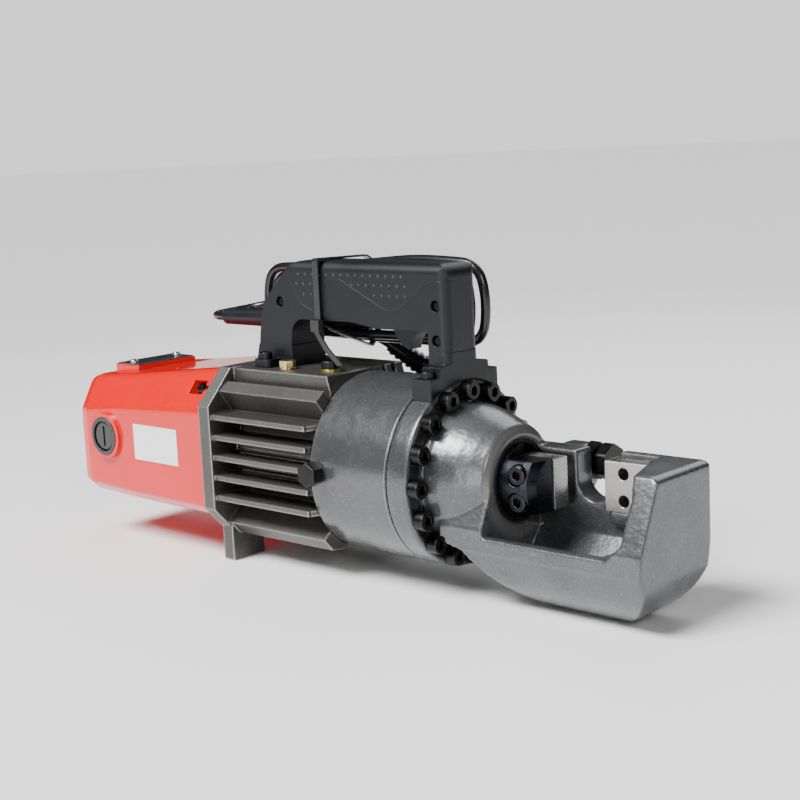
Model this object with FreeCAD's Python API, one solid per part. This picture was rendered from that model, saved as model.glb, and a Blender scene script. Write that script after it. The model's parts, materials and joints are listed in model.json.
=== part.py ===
import FreeCAD, Part
import math
import os

# Hand-held electro-hydraulic rebar cutter for bars up to 25 mm.
# Lengths are in millimetres.
#
# The model is drawn about the tool's axis: +X runs along the axis towards the cutting head,
# +Z is up, and x = 0 is the front face of the head's bolted flange. export() then shifts it, so
# that the origin is the middle of the small flat under the head that the tool stands on.

# ---- driving dimensions ----
axis_height = 78.0          # the tool's axis above the surface it stands on
rest_x = 118.0              # middle of the flat under the head

bar_diameter = 25.0         # the largest bar it cuts
stroke = 32.0               # travel of the ram
fit = 0.05                  # radial clearance of a running fit

ring_r = 64.0               # cylinder and bolted flange
flange_thickness = 18.0
cylinder_back = -89.0
bore_r = 41.0               # hydraulic bore
piston_back = -68.0
piston_thickness = 16.0
ram_r = 25.0

bolt_count = 16
bolt_circle_r = 56.8
bolt_r = 4.0                # M8 shank
bolt_head_r = 6.5
bolt_head_height = 8.0
bolt_length = 32.0

shoulder_x = 45.0           # face where the ram comes out of the head
shoulder_r = 38.0
jaw_back = 72.0             # front of the moving blade at rest
jaw_front = jaw_back + bar_diameter + 4.0
nose_x = 165.0              # front of the head

blade_side = 33.0           # both blades are square blocks
blade_thickness = 14.6
blade_screw_z = 8.9         # blade screws above and below the axis
shear_gap = 0.3

head_near = -44.0           # the head's rim towards -Y
head_far = 37.0             # its wall towards +Y
head_top = 19.5
rim_z = -29.7               # top of the low rim towards -Y
wall_inner_y = 19.5
keel_half = 10.0            # half width of the level strip under the head

plate_back = -200.0         # octagonal plate at the rear of the finned casing
plate_front = -188.5
casing_top = 65.3
casing_bottom = -58.7
barrel_r = 49.0
barrel_back = -176.0
fin_front = -92.0
fin_zs = [32.0, 17.0, 2.0, -13.0, -28.0]
fin_half_width = 64.0
fin_thickness = 4.2

motor_z = 6.0               # the motor sits above the tool's axis
motor_back = -358.0
motor_wall = 3.5
brush_x = -318.0
brush_cap_y = 67.0

gear_module = 1.25
pinion_teeth = 12
wheel_teeth = 30
cam_z = motor_z - gear_module * (pinion_teeth + wheel_teeth) / 2

handle_top = 142.5
handle_half = 17.0
handle_wall = 3.0
skin = 1.6                  # thickness of the soft grip
rear_split_z = 80.7         # joint between the rear post and its base
front_split_z = 83.4        # joint between the front post and the saddle
post_front_x = 0.0
post_back_x = -183.0

cord_r = 3.5
hank_r = cord_r * (1 + math.sqrt(2)) + 0.2   # four strands side by side fit inside it
hank_y = 31.0               # mid-plane of the coiled cord, behind the handle
tie_x = -117.0              # cable tie round grip and coil

# ---- small builders ----
X = FreeCAD.Vector(1, 0, 0)
Y = FreeCAD.Vector(0, 1, 0)
Z = FreeCAD.Vector(0, 0, 1)


def vec(x, y, z):
    return FreeCAD.Vector(x, y, z)


def box(x0, x1, y0, y1, z0, z1):
    return Part.makeBox(x1 - x0, y1 - y0, z1 - z0, vec(x0, y0, z0))


def rod(x0, x1, r, y=0.0, z=0.0):
    """Cylinder along X."""
    return Part.makeCylinder(r, x1 - x0, vec(x0, y, z), X)


def pin_y(y0, y1, r, x, z):
    """Cylinder along Y."""
    return Part.makeCylinder(r, y1 - y0, vec(x, y0, z), Y)


def pin_z(z0, z1, r, x, y):
    """Cylinder along Z."""
    return Part.makeCylinder(r, z1 - z0, vec(x, y, z0), Z)


def tube(x0, x1, r_out, r_in, y=0.0, z=0.0):
    return rod(x0, x1, r_out, y, z).cut(rod(x0 - 1, x1 + 1, r_in, y, z))


def turned(points):
    """Solid of revolution about the tool's axis from (x, radius) points."""
    corners = [vec(x, 0, r) for x, r in points]
    face = Part.Face(Part.makePolygon(corners + corners[:1]))
    return face.revolve(vec(0, 0, 0), X, 360)


def corner_arc(before, corner, after, radius):
    """Tangent arc that rounds one corner, as (start, middle, end)."""
    to_before = (before - corner).normalize()
    to_after = (after - corner).normalize()
    half_angle = to_before.getAngle(to_after) / 2
    reach = radius / math.tan(half_angle)
    bisector = (to_before + to_after).normalize()
    centre = corner + bisector * (radius / math.sin(half_angle))
    return corner + to_before * reach, centre - bisector * radius, corner + to_after * reach


def rounded_loop(corners, radius):
    """Closed wire through the corners, each rounded; radius is one number or a list."""
    n = len(corners)
    radii = radius if isinstance(radius, list) else [radius] * n
    arcs = [corner_arc(corners[i - 1], corners[i], corners[(i + 1) % n], radii[i]) for i in range(n)]
    edges = []
    for i, (start, middle, end) in enumerate(arcs):
        edges.append(Part.Arc(start, middle, end).toShape())
        next_start = arcs[(i + 1) % n][0]
        if end.distanceToPoint(next_start) > 1e-6:
            edges.append(Part.LineSegment(end, next_start).toShape())
    return Part.Wire(edges)


def prism_xz(points, y0, y1, radius=0.0):
    """Outline of (x, z) points, extruded along Y from y0 to y1."""
    corners = [vec(x, y0, z) for x, z in points]
    wire = rounded_loop(corners, radius) if radius else Part.makePolygon(corners + corners[:1])
    return Part.Face(wire).extrude(vec(0, y1 - y0, 0))


def prism_yz(points, x0, x1, radius=0.0):
    """Outline of (y, z) points, extruded along X from x0 to x1."""
    corners = [vec(x0, y, z) for y, z in points]
    wire = rounded_loop(corners, radius) if radius else Part.makePolygon(corners + corners[:1])
    return Part.Face(wire).extrude(vec(x1 - x0, 0, 0))


def joined(shapes):
    """One solid from overlapping ones."""
    whole = shapes[0]
    for shape in shapes[1:]:
        whole = whole.fuse(shape)
    return whole.removeSplitter()


def without(shape, tools):
    for tool in tools:
        shape = shape.cut(tool)
    return shape


def mirrored_y(shape):
    return shape.mirror(vec(0, 0, 0), Y)


def aimed(shape, base, direction):
    """Moves a shape that was drawn along +X from the origin to base, pointing along direction."""
    moved = shape.copy()
    moved.Placement = FreeCAD.Placement(base, FreeCAD.Rotation(X, direction)).multiply(moved.Placement)
    return moved


def hexagon(x0, x1, across_flats, corner_up=True):
    """Hexagonal prism along X about the origin's axis."""
    turn = 30 if corner_up else 0
    r = across_flats / math.sqrt(3)
    angles = [math.radians(60 * i + turn) for i in range(6)]
    return prism_yz([(r * math.cos(a), r * math.sin(a)) for a in angles], x0, x1)


def socket_screw(shank_r, length, head_r, head_height):
    """Socket-head screw: its head stands on x = 0 and its shank runs to x = -length."""
    head = rod(0, head_height, head_r)
    head = head.makeChamfer(0.6, [e for e in head.Edges if e.BoundBox.XMin > head_height - 0.01])
    socket = hexagon(head_height * 0.4, head_height + 1, head_r * 0.95)
    return joined([head, rod(-length, 0.5, shank_r)]).cut(socket)


def pan_screw(shank_r, length, head_r, head_height):
    """Cross-recessed pan-head screw, placed like socket_screw."""
    head = rod(0, head_height, head_r)
    head = head.makeFillet(head_height * 0.6, [e for e in head.Edges if e.BoundBox.XMin > head_height - 0.01])
    bar = box(head_height * 0.5, head_height + 1, -0.4, 0.4, -head_r * 0.6, head_r * 0.6)
    cross = joined([bar, bar.rotated(vec(0, 0, 0), X, 90)])
    return joined([head, rod(-length, 0.3, shank_r)]).cut(cross)


def bolt_positions():
    for i in range(bolt_count):
        a = 2 * math.pi * i / bolt_count
        yield -bolt_circle_r * math.cos(a), bolt_circle_r * math.sin(a)


def at(shape, x=0.0, y=0.0, z=0.0):
    return shape.translated(vec(x, y, z))


# ---- cutting head ----
blade_x0 = jaw_back - blade_side
fixed_screw_x = jaw_front + 14.0
moving_screw_x = jaw_back - 13.0
fixed_y0 = blade_thickness + shear_gap
fixed_y1 = fixed_y0 + blade_thickness
stop_y = 50.0
stop_z = 6.8
stop_lug_x1 = 66.0
stop_thread_r = 7.0
block_back = 149.0          # front block of the bowl, behind the fixed blade
seam_step = 1.6             # step along the casting's seam


def head_hull():
    """The bowl of the head: its side outline met by its front outline."""
    low = -axis_height
    side = Part.Wire([
        Part.LineSegment(vec(10, 0, head_top), vec(10, 0, -36)).toShape(),
        Part.LineSegment(vec(10, 0, -36), vec(26, 0, -40)).toShape(),
        Part.Arc(vec(26, 0, -40), vec(57, 0, -65), vec(102, 0, low)).toShape(),
        Part.LineSegment(vec(102, 0, low), vec(131, 0, low)).toShape(),
        Part.Arc(vec(131, 0, low), vec(151, 0, -68), vec(nose_x, 0, -46)).toShape(),
        Part.LineSegment(vec(nose_x, 0, -46), vec(nose_x, 0, head_top - 2.5)).toShape(),
        Part.LineSegment(vec(nose_x, 0, head_top - 2.5), vec(nose_x - 4, 0, head_top)).toShape(),
        Part.LineSegment(vec(nose_x - 4, 0, head_top), vec(10, 0, head_top)).toShape(),
    ])
    side_solid = Part.Face(side).extrude(vec(0, 120, 0)).translated(vec(0, -60, 0))
    front = Part.Wire([
        Part.Arc(vec(0, -keel_half, low), vec(0, -31, -64), vec(0, head_near + seam_step, -40.5)).toShape(),
        Part.LineSegment(vec(0, head_near + seam_step, -40.5), vec(0, head_near, -39)).toShape(),
        Part.LineSegment(vec(0, head_near, -39), vec(0, head_near, rim_z + 5)).toShape(),
        Part.LineSegment(vec(0, head_near, rim_z + 5), vec(0, -23, head_top)).toShape(),
        Part.LineSegment(vec(0, -23, head_top), vec(0, head_far, head_top)).toShape(),
        Part.LineSegment(vec(0, head_far, head_top), vec(0, head_far, -28)).toShape(),
        Part.Arc(vec(0, head_far, -28), vec(0, 29, -57), vec(0, keel_half, low)).toShape(),
        Part.LineSegment(vec(0, keel_half, low), vec(0, -keel_half, low)).toShape(),
    ])
    return side_solid.common(Part.Face(front).extrude(vec(nose_x + 10, 0, 0)))


def block_face():
    """Wedge of the front block, whose inner face slants from the near rim to the fixed blade."""
    blade_end = jaw_front + blade_side + 0.4
    corners = [vec(blade_end, fixed_y0 + 1, rim_z - 1), vec(block_back, -27, rim_z - 1), vec(nose_x, -27, rim_z - 1),
               vec(nose_x, fixed_y0 + 1, rim_z - 1)]
    return Part.Face(Part.makePolygon(corners + corners[:1])).extrude(vec(0, 0, 100))


def jaw_space():
    """Everything that is open in the bowl: above the rim, the trough and the notch."""
    near_opening = prism_xz(
        [(shoulder_x, rim_z), (block_back - 9, rim_z), (block_back, rim_z + 9), (block_back + 3, 60), (shoulder_x, 60)],
        -80, fixed_y0).cut(block_face())
    towards_wall = box(shoulder_x, jaw_front + 3, fixed_y0 - 1, wall_inner_y, rim_z, 60)
    trough = prism_yz([(-36, -25), (-36, rim_z - 4), (-16, -50), (6, -50), (wall_inner_y, rim_z - 4), (wall_inner_y, -25)],
                      shoulder_x, block_back - 16)
    blade_pocket = box(jaw_front, jaw_front + blade_side, fixed_y0 - 1, fixed_y1, -blade_side / 2, 60)
    notch_back = jaw_back + 4
    notch_front = jaw_front + 2
    r = (notch_front - notch_back) / 2
    notch = joined([
        box(notch_back, notch_front, wall_inner_y - 1, 90, 0, 60),
        pin_y(wall_inner_y - 1, 90, r, notch_back + r, 0),
    ])
    ram_relief = rod(shoulder_x - 1, jaw_back + 1, ram_r + 0.5)
    return [near_opening, towards_wall, trough, blade_pocket, notch, ram_relief]


def stop_lug():
    """Boss behind the far wall that holds the stop bolt."""
    outline = [(head_far - 2, -14), (head_far - 2, head_top - 2), (57, head_top - 2), (63, 11), (63, -4), (54, -14)]
    return prism_yz(outline, 46, stop_lug_x1)


def make_head():
    rim = -flange_thickness + 0.4
    dome = turned([
        (rim, 0), (rim, ring_r - 0.8), (rim + 0.8, ring_r), (-1, ring_r), (0, ring_r - 1), (0, 49.5), (6, 49), (14, 47.5),
        (24, 44.5), (33, 41), (38, shoulder_r + 0.6), (42, shoulder_r - 1), (shoulder_x - 1, shoulder_r - 4.5),
        (shoulder_x, shoulder_r - 7), (shoulder_x, 0)])
    head = joined([dome, without(head_hull(), jaw_space()), stop_lug()])
    holes = [rod(-30, shoulder_x + 1, ram_r + fit), rod(shoulder_x - 5, shoulder_x + 1, ram_r + 2.5)]
    holes.append(rod(-30, -10, ram_r + 6))
    for y, z in bolt_positions():
        holes.append(rod(-30, 0, bolt_r + 0.3, y, z))
        holes.append(rod(0, 14, bolt_head_r + 1.2, y, z))
    for side in (-1, 1):
        holes.append(pin_y(fixed_y0, 80, bolt_r + 0.3, fixed_screw_x, side * blade_screw_z))
    holes.append(rod(40, stop_lug_x1 + 1, stop_thread_r + fit, stop_y, stop_z))
    for side in (-1, 1):
        holes.append(pin_z(saddle_screw_end - 1, 70, 2.5 + fit, saddle_screw_x, side * saddle_screw_y))
    return without(head, holes)


def make_head_bolts():
    screw = socket_screw(bolt_r, bolt_length, bolt_head_r, bolt_head_height)
    return Part.makeCompound([at(screw, 0, y, z) for y, z in bolt_positions()])


def make_fixed_blade():
    half = blade_side / 2
    blade = box(jaw_front, jaw_front + blade_side, fixed_y0, fixed_y1, -half, half)
    edges = [e for e in blade.Edges if e.BoundBox.YMax < fixed_y0 + 0.01 and e.BoundBox.ZMin > 0]
    blade = blade.makeChamfer(0.8, edges)
    return without(blade, [pin_y(fixed_y0 - 1, fixed_y1 + 1, bolt_r + fit, fixed_screw_x, side * blade_screw_z)
                           for side in (-1, 1)])


def make_fixed_blade_screws():
    screw = socket_screw(bolt_r, head_far - fixed_y0 - 7, bolt_head_r, bolt_head_height)
    return Part.makeCompound([aimed(screw, vec(fixed_screw_x, head_far, side * blade_screw_z), Y) for side in (-1, 1)])


def make_stop_bolt():
    head_x = 77.0
    head = at(hexagon(0, 7.5, 22.5).common(rod(-1, 7.5, 12.6)), head_x, stop_y, stop_z)
    return joined([head, rod(34, head_x + 1, stop_thread_r, stop_y, stop_z)])


def make_stop_nut():
    nut = at(hexagon(0, 8, 22.5), stop_lug_x1, stop_y, stop_z)
    return nut.cut(rod(40, 90, stop_thread_r + fit, stop_y, stop_z))


# ---- cylinder, ram and moving blade ----
ram_start = piston_back + piston_thickness
seal_x0, seal_x1 = piston_back + 5, piston_back + 11
screw_seat_y = -15.5


def make_cylinder():
    body = turned([
        (cylinder_back, 0), (cylinder_back, ring_r - 1.5), (cylinder_back + 1.5, ring_r),
        (-flange_thickness - 1.2, ring_r), (-flange_thickness - 0.4, ring_r - 0.8), (-flange_thickness - 0.4, 0)])
    holes = [rod(piston_back - 2, 0, bore_r), rod(cylinder_back - 1, piston_back, 5.0)]
    for y, z in bolt_positions():
        holes.append(rod(-bolt_length - 3, 0, bolt_r + fit, y, z))
    holes.append(pin_y(-ring_r - 2, -4, valve_stem_r + fit, valve_x, valve_z))
    holes.append(pin_y(-ring_r - 2, -ring_r + 4, valve_ring_r, valve_x, valve_z))
    return without(body, holes)


def make_piston():
    ring = tube(piston_back, ram_start, bore_r - fit, 10)
    return ring.cut(tube(seal_x0, seal_x1, bore_r + 1, bore_r - 4))


def make_piston_seal():
    return tube(seal_x0, seal_x1, bore_r - 0.02, bore_r - 4)


def make_ram():
    """Round rod with a flattened nose; the moving blade sits on the flat towards +Y."""
    nose_half = 17.3
    body = joined([rod(ram_start, jaw_back - 1, ram_r), rod(piston_back, ram_start + 1, 10)])
    seat = box(blade_x0 - 0.02, jaw_back + 1, 0, 40, -40, 40)
    above = box(shoulder_x + 3, jaw_back + 1, -40, 1, nose_half, 40)
    below = box(shoulder_x + 3, jaw_back + 1, -40, 1, -40, -nose_half)
    cone = turned([(jaw_back - 9, ram_r + 5), (jaw_back - 9, ram_r), (jaw_back - 5, ram_r - 1.6), (jaw_back - 1, ram_r - 7),
                   (jaw_back + 1, ram_r - 7), (jaw_back + 1, ram_r + 5)])
    tools = [seat, above, below, cone.common(box(0, 100, -40, 0, -40, 40))]
    for side in (-1, 1):
        z = side * blade_screw_z
        tools.append(pin_y(-30, 1, bolt_r + fit, moving_screw_x, z))
        tools.append(pin_y(-30, screw_seat_y, bolt_head_r + 0.5, moving_screw_x, z))
    return without(body, tools)


def make_moving_blade():
    blade = box(blade_x0, jaw_back, 0.0, blade_thickness, -blade_side / 2, blade_side / 2)
    return without(blade, [pin_y(-1, 9, bolt_r + fit, moving_screw_x, side * blade_screw_z) for side in (-1, 1)])


def make_moving_blade_screws():
    screw = socket_screw(bolt_r, 8 - screw_seat_y, bolt_head_r, bolt_head_height)
    return Part.makeCompound([aimed(screw, vec(moving_screw_x, screw_seat_y, side * blade_screw_z), vec(0, -1, 0))
                              for side in (-1, 1)])


def make_rod_wiper():
    return tube(shoulder_x - 5, shoulder_x - 0.5, ram_r + 2.5, ram_r + fit)


def make_return_spring():
    """Coil spring round the ram, between the piston and the head."""
    wire_r = 1.2
    coil_r = ram_r + 2.4
    start = ram_start + wire_r + 0.2
    end = -10.0 - wire_r - 0.2
    turns = 3
    steps = 16 * turns
    points = []
    for i in range(steps + 1):
        a = 2 * math.pi * turns * i / steps
        points.append(vec(start + (end - start) * i / steps, coil_r * math.sin(a), coil_r * math.cos(a)))
    coil = Part.BSplineCurve()
    coil.interpolate(points)
    profile = Part.Wire(Part.makeCircle(wire_r, points[0], coil.tangent(coil.FirstParameter)[0]))
    return Part.Wire(coil.toShape()).makePipeShell([profile], True, True)


# ---- release valve ----
valve_x = -81.5
valve_z = 3.0
valve_stem_r = 4.0
valve_ring_r = 5.8          # sealing ring under its hexagon
valve_ring_y = -ring_r - 1.2


def make_valve_boss():
    ring = pin_y(valve_ring_y, -ring_r + 4, valve_ring_r, valve_x, valve_z)
    return ring.cut(pin_y(-ring_r - 8, -ring_r + 9, valve_stem_r + fit, valve_x, valve_z))


def make_release_valve():
    head = aimed(hexagon(0, 9, 15), vec(valve_x, valve_ring_y - 0.3, valve_z), vec(0, -1, 0))
    stem = pin_y(valve_ring_y - 1, -12, valve_stem_r, valve_x, valve_z)
    tip = Part.makeCone(valve_stem_r, 1.0, 6, vec(valve_x, -12, valve_z), Y)
    return joined([head, stem, tip])


# ---- finned casing with the pump ----
oil_plug_x, oil_plug_y = -144.0, -26.2
vent_x, vent_y = -107.0, -19.5
chamber_r = 36.0            # pump chamber inside the barrel
gear_x0, gear_x1 = -201.0, -195.5
gear_chamber_end = plate_back + 5.5
cam_x0, cam_x1 = -201.0, -148.0
cam_throw = 1.5
cam_shaft_r = 6.0
cam_spigot_r = 3.5
roller_r = 13.0
plunger_x = -166.0
plunger_r = 6.0
block_low = cam_z + roller_r + cam_throw + 1.0


def casing_octagon():
    """Outline of the rear plate: deeper slanted corners above than below."""
    return [(66, -37), (66, 40), (42, 65.6), (-42, 65.6), (-66, 40), (-66, -37), (-46, casing_bottom), (46, casing_bottom)]


def fin_end_cut(sign):
    """Slopes the front ends of the side fins back towards their outer edges."""
    outline = [(0, 70), (20, 70), (20, 45), (7, 45), (0, 61)]
    corners = [vec(fin_front + x, sign * y, -60) for x, y in outline]
    return Part.Face(Part.makePolygon(corners + corners[:1])).extrude(vec(0, 0, 130))


def side_fins(sign):
    """Row of level fins on one side."""
    half = fin_thickness / 2
    fins = []
    for z in fin_zs:
        outline = [(sign * y, z + up) for y, up in ((40, -half), (fin_half_width, -half), (fin_half_width, half), (40, half))]
        fins.append(prism_yz(outline, plate_front - 1, fin_front + 6, 1.2).cut(fin_end_cut(sign)))
    return fins


def corner_bars(sign):
    """Thick ribs under the octagon's slanted sides, upper and lower."""
    upper = [(54.6, 50.1), (46, 56.3), (32, 42), (41, 32)]
    lower = [(53.5, -48.4), (45.6, -57.3), (32.5, casing_bottom), (24, -42), (36, -33)]
    return [prism_yz([(sign * y, z) for y, z in outline], plate_front - 1, fin_front + 4) for outline in (upper, lower)]


def foot(sign):
    """Flat-bottomed foot under the plate."""
    outline = [(sign * y, z) for y, z in ((22.5, -axis_height), (53, -axis_height), (53, -50), (22.5, -50))]
    return prism_yz(outline, -196, -185.5, 1.5)


def make_pump_housing():
    plate = prism_yz(casing_octagon(), plate_back, plate_front)
    neck = rod(plate_front - 1, barrel_back + 1, 41)
    barrel = rod(barrel_back, cylinder_back, barrel_r)
    top = prism_xz([(plate_front - 1, 38), (plate_front - 1, casing_top), (fin_front, casing_top), (fin_front + 3, 54),
                    (fin_front, 38)], -39, 39)
    bottom = box(plate_front - 1, fin_front, -32, 32, casing_bottom, -40)
    pieces = [plate, neck, barrel, top, bottom]
    for sign in (-1, 1):
        pieces += side_fins(sign) + corner_bars(sign) + [foot(sign)]
    body = joined(pieces)
    tools = [
        rod(plate_back - 1, gear_chamber_end, 50),
        rod(plate_front, -102, chamber_r),
        rod(gear_chamber_end - 1, plate_front + 1, cam_shaft_r + fit, 0, cam_z),
        rod(-110, cylinder_back + 1, 5.0),
        rod(cylinder_back, 0, ring_r + 0.3),
    ]
    for y0, y1 in ((17, 21), (27, 31)):
        tools.append(box(-148, fin_front + 8, y0, y1, casing_top - 8, casing_top + 5))
    ribs = 24
    for i in range(ribs):
        slot = box(barrel_back - 1, cylinder_back - 1.5, -1.3, 1.3, barrel_r - 4, barrel_r + 0.5)
        tools.append(slot.rotated(vec(0, 0, 0), X, 360.0 * (i + 0.5) / ribs))
    for x, y in ((oil_plug_x, oil_plug_y), (vent_x, vent_y)):
        tools.append(pin_z(casing_top - 13, casing_top + 1, 4.0 + fit, x, y))
    for y, z in motor_bolt_positions():
        tools.append(rod(plate_back - 1, plate_front - 1, 3.0 + fit, y, z))
    for x, y in base_screw_positions():
        tools.append(pin_z(casing_top - 11, casing_top + 1, 2.5 + fit, x, y))
    return without(body, tools)


def make_oil_plug():
    head = aimed(hexagon(0, 6.5, 10.8).common(rod(-1, 6.5, 6.0)), vec(oil_plug_x, oil_plug_y, casing_top), Z)
    collar = pin_z(casing_top, casing_top + 1.4, 6.4, oil_plug_x, oil_plug_y)
    return joined([head, collar, pin_z(casing_top - 10, casing_top + 1, 4.0, oil_plug_x, oil_plug_y)])


def make_vent_screw():
    screw = socket_screw(4.0, 12, bolt_head_r, 6.0)
    return aimed(screw, vec(vent_x, vent_y, casing_top + 1.8), Z)


def make_vent_washer():
    hole = pin_z(casing_top - 1, casing_top + 3, 4.0 + fit, vent_x, vent_y)
    return pin_z(casing_top, casing_top + 1.8, 7.1, vent_x, vent_y).cut(hole)


def make_bladder():
    """Rubber oil bladder: an open sleeve against the chamber's wall."""
    return tube(-146, -104, chamber_r, chamber_r - 2.5)


def make_pump_block():
    """Upper part of a disc that fills the chamber; the plunger slides in it."""
    block = rod(-178, -152, chamber_r).cut(box(-179, -151, -40, 40, -60, block_low))
    block = block.cut(pin_z(block_low - 1, 14, plunger_r + fit, plunger_x, 0))
    return block.cut(rod(-172, -151, 2.0, 12, 12))


def make_plunger():
    """Pump plunger at the top of its stroke, just clear of the cam roller."""
    return pin_z(cam_z + roller_r + cam_throw + 0.4, 8, plunger_r, plunger_x, 0)


def make_cam_shaft():
    shaft = rod(cam_x0, cam_x1, cam_shaft_r, 0, cam_z)
    spigot = rod(cam_x0 - 7, cam_x0 + 1, cam_spigot_r, 0, cam_z)
    cam = rod(plunger_x - 6, plunger_x + 6, 10, 0, cam_z - cam_throw)
    return joined([shaft, spigot, cam])


def make_cam_roller():
    return tube(plunger_x - 5, plunger_x + 5, roller_r, 10, 0, cam_z - cam_throw)


def gear(teeth, x0, x1, hole_r, phase=0.0):
    """Spur gear along X: straight-flanked teeth, thinned for backlash."""
    pitch_r = gear_module * teeth / 2
    root_r = pitch_r - 1.25 * gear_module
    tip_r = pitch_r + 0.85 * gear_module
    half_tooth = math.pi * gear_module / 4 - 0.22
    slope = math.tan(math.radians(22))
    profile = []
    for i in range(teeth):
        middle = 2 * math.pi * (i + phase) / teeth
        for r, side in ((root_r, -1), (tip_r, -1), (tip_r, 1), (root_r, 1)):
            a = middle + side * (half_tooth - (r - pitch_r) * slope) / r
            profile.append((r * math.sin(a), r * math.cos(a)))
    return prism_yz(profile, x0, x1).cut(rod(x0 - 1, x1 + 1, hole_r))


def make_cam_gear():
    return at(gear(wheel_teeth, gear_x0, gear_x1, cam_shaft_r, 0.5), 0, 0, cam_z)


# ---- motor ----
plate_screw_x = -328.5
plate_screw_y = 22.0
nameplate_z = 57.2          # top of the pad under the nameplate
motor_bolt_seat = plate_back - 5
commutator_r = 15.0
core_x0, core_x1 = -296.0, -238.0
stator_r = 43.0
coil_offset = 36.0          # middle of the field coils above and below the motor's axis
shield_x0, shield_x1 = -210.0, -202.0
bearing_r = 13.0
motor_shaft_r = 6.0


def motor_bolt_positions():
    return [(sy * y, z) for sy in (-1, 1) for y, z in ((51.5, 49.5), (54, -34))]


def motor_shell(inset):
    """Tapered body of the motor housing; inset shrinks it to give the inner surface."""
    end = inset * 0.9
    stations = [
        # x, half width, top, bottom, then where the corners start: on the side and on the top
        (plate_back, 65, 65, -44, 38, 43),
        (-300, 63, 54.5, -43, 32, 47),
        (-345 + end, 61, 51, -42, 26, 47),
        (-353 + end, 59, 49, -40.5, 24, 45),
        (motor_back + end, 54, 44, -36, 20, 41),
    ]
    wires = []
    for x, half, top, bottom, side_z, top_y in stations:
        w, t, b = half - inset, top - inset, bottom + inset
        shrink = inset * 0.4
        outline = [(w, b + 8), (w, side_z - shrink), (top_y - shrink, t), (-top_y + shrink, t), (-w, side_z - shrink),
                   (-w, b + 8), (-w + 8, b), (w - 8, b)]
        wires.append(rounded_loop([vec(x, y, z) for y, z in outline], [5, 16, 12, 12, 16, 5, 5, 5]))
    return Part.makeLoft(wires, True, True)


def make_motor_housing():
    pad = box(-343, -314, -29.3, 29.3, 30, nameplate_z)
    boss = pin_y(-brush_cap_y + 1.5, brush_cap_y - 1.5, 18.5, brush_x, motor_z)
    outer = joined([motor_shell(0.0), pad, boss])
    shell = outer.cut(motor_shell(motor_wall))
    inside = [tube(motor_back + 1, -344, 15, 11, 0, motor_z)]
    for sign in (-1, 1):
        rail = box(core_x0, core_x1, min(sign * 30, sign * 63), max(sign * 30, sign * 63), motor_z - 6, motor_z + 6)
        inside.append(rail.cut(rod(core_x0 - 1, core_x1 + 1, stator_r, 0, motor_z)))
    for y, z in motor_bolt_positions():
        inside.append(rod(plate_back - 22, plate_back, 9.5, y, z))
    shell = joined([shell] + [piece.common(outer) for piece in inside])
    tools = [pin_y(-80, 80, 15.0 + fit, brush_x, motor_z)]
    for y, z in motor_bolt_positions():
        tools.append(rod(motor_bolt_seat - 1, plate_back + 1, 3.3, y, z))
        tools.append(rod(plate_back - 20, motor_bolt_seat, 6.2, y, z))
    for y in (-plate_screw_y, plate_screw_y):
        tools.append(pin_z(nameplate_z - 7, nameplate_z + 1, 1.5 + fit, plate_screw_x, y))
    for z in (-30, -22, 22, 30):
        tools.append(box(motor_back - 5, motor_back + 12, -26, 26, motor_z + z - 1.8, motor_z + z + 1.8))
    return without(shell, tools)


def make_nameplate():
    plate = box(-342, -315, -28.3, 28.3, nameplate_z, nameplate_z + 1)
    return without(plate, [pin_z(56, 60, 1.5 + fit, plate_screw_x, y) for y in (-plate_screw_y, plate_screw_y)])


def make_nameplate_screws():
    screw = pan_screw(1.5, 7, 3.6, 2.6)
    return Part.makeCompound([aimed(screw, vec(plate_screw_x, y, nameplate_z + 1), Z)
                              for y in (-plate_screw_y, plate_screw_y)])


def make_info_label():
    """Blank sticker on the side of the motor housing, following its taper."""
    sheet = box(-282, -229, -80, -50, -8.7, 18.9)
    return sheet.common(at(motor_shell(0.0), 0, -0.4, 0)).cut(motor_shell(0.0))


def make_motor_bolts():
    screw = socket_screw(3.0, 15, 5.0, 6.0)
    return Part.makeCompound([aimed(screw, vec(motor_bolt_seat, y, z), vec(-1, 0, 0)) for y, z in motor_bolt_positions()])


def make_brush_caps():
    """Screwed caps on both sides, each with the holder of its carbon brush."""
    cap = pin_y(brush_cap_y - 14, brush_cap_y - 1, 15.0, brush_x, motor_z)
    cap = cap.cut(pin_y(brush_cap_y - 4, brush_cap_y, 12, brush_x, motor_z))
    knob = pin_y(brush_cap_y - 5, brush_cap_y - 2, 10.5, brush_x, motor_z)
    knob = knob.cut(box(brush_x - 1.2, brush_x + 1.2, brush_cap_y - 3.5, brush_cap_y + 1, motor_z - 8, motor_z + 8))
    guide = pin_y(20, brush_cap_y - 13, 7, brush_x, motor_z)
    guide = guide.cut(box(brush_x - 4, brush_x + 4, 0, brush_cap_y - 16, motor_z - 5, motor_z + 5))
    whole = joined([cap, knob, guide])
    return Part.makeCompound([whole, mirrored_y(whole)])


def make_brushes():
    brush = box(brush_x - 4, brush_x + 4, commutator_r + 0.4, 38, motor_z - 5, motor_z + 5)
    return Part.makeCompound([brush, mirrored_y(brush)])


def coil_spaces(x0, x1):
    """The room of the two field coils, above and below the rotor."""
    return [box(x0, x1, -9, 9, motor_z + sign * coil_offset - 4.6, motor_z + sign * coil_offset + 4.6)
            for sign in (-1, 1)]


def make_stator():
    ring = tube(core_x0, core_x1, stator_r, 28, 0, motor_z)
    return without(ring, coil_spaces(core_x0 - 1, core_x1 + 1))


def make_field_coils():
    return Part.makeCompound(coil_spaces(core_x0 - 8, core_x1 + 8))


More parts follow.
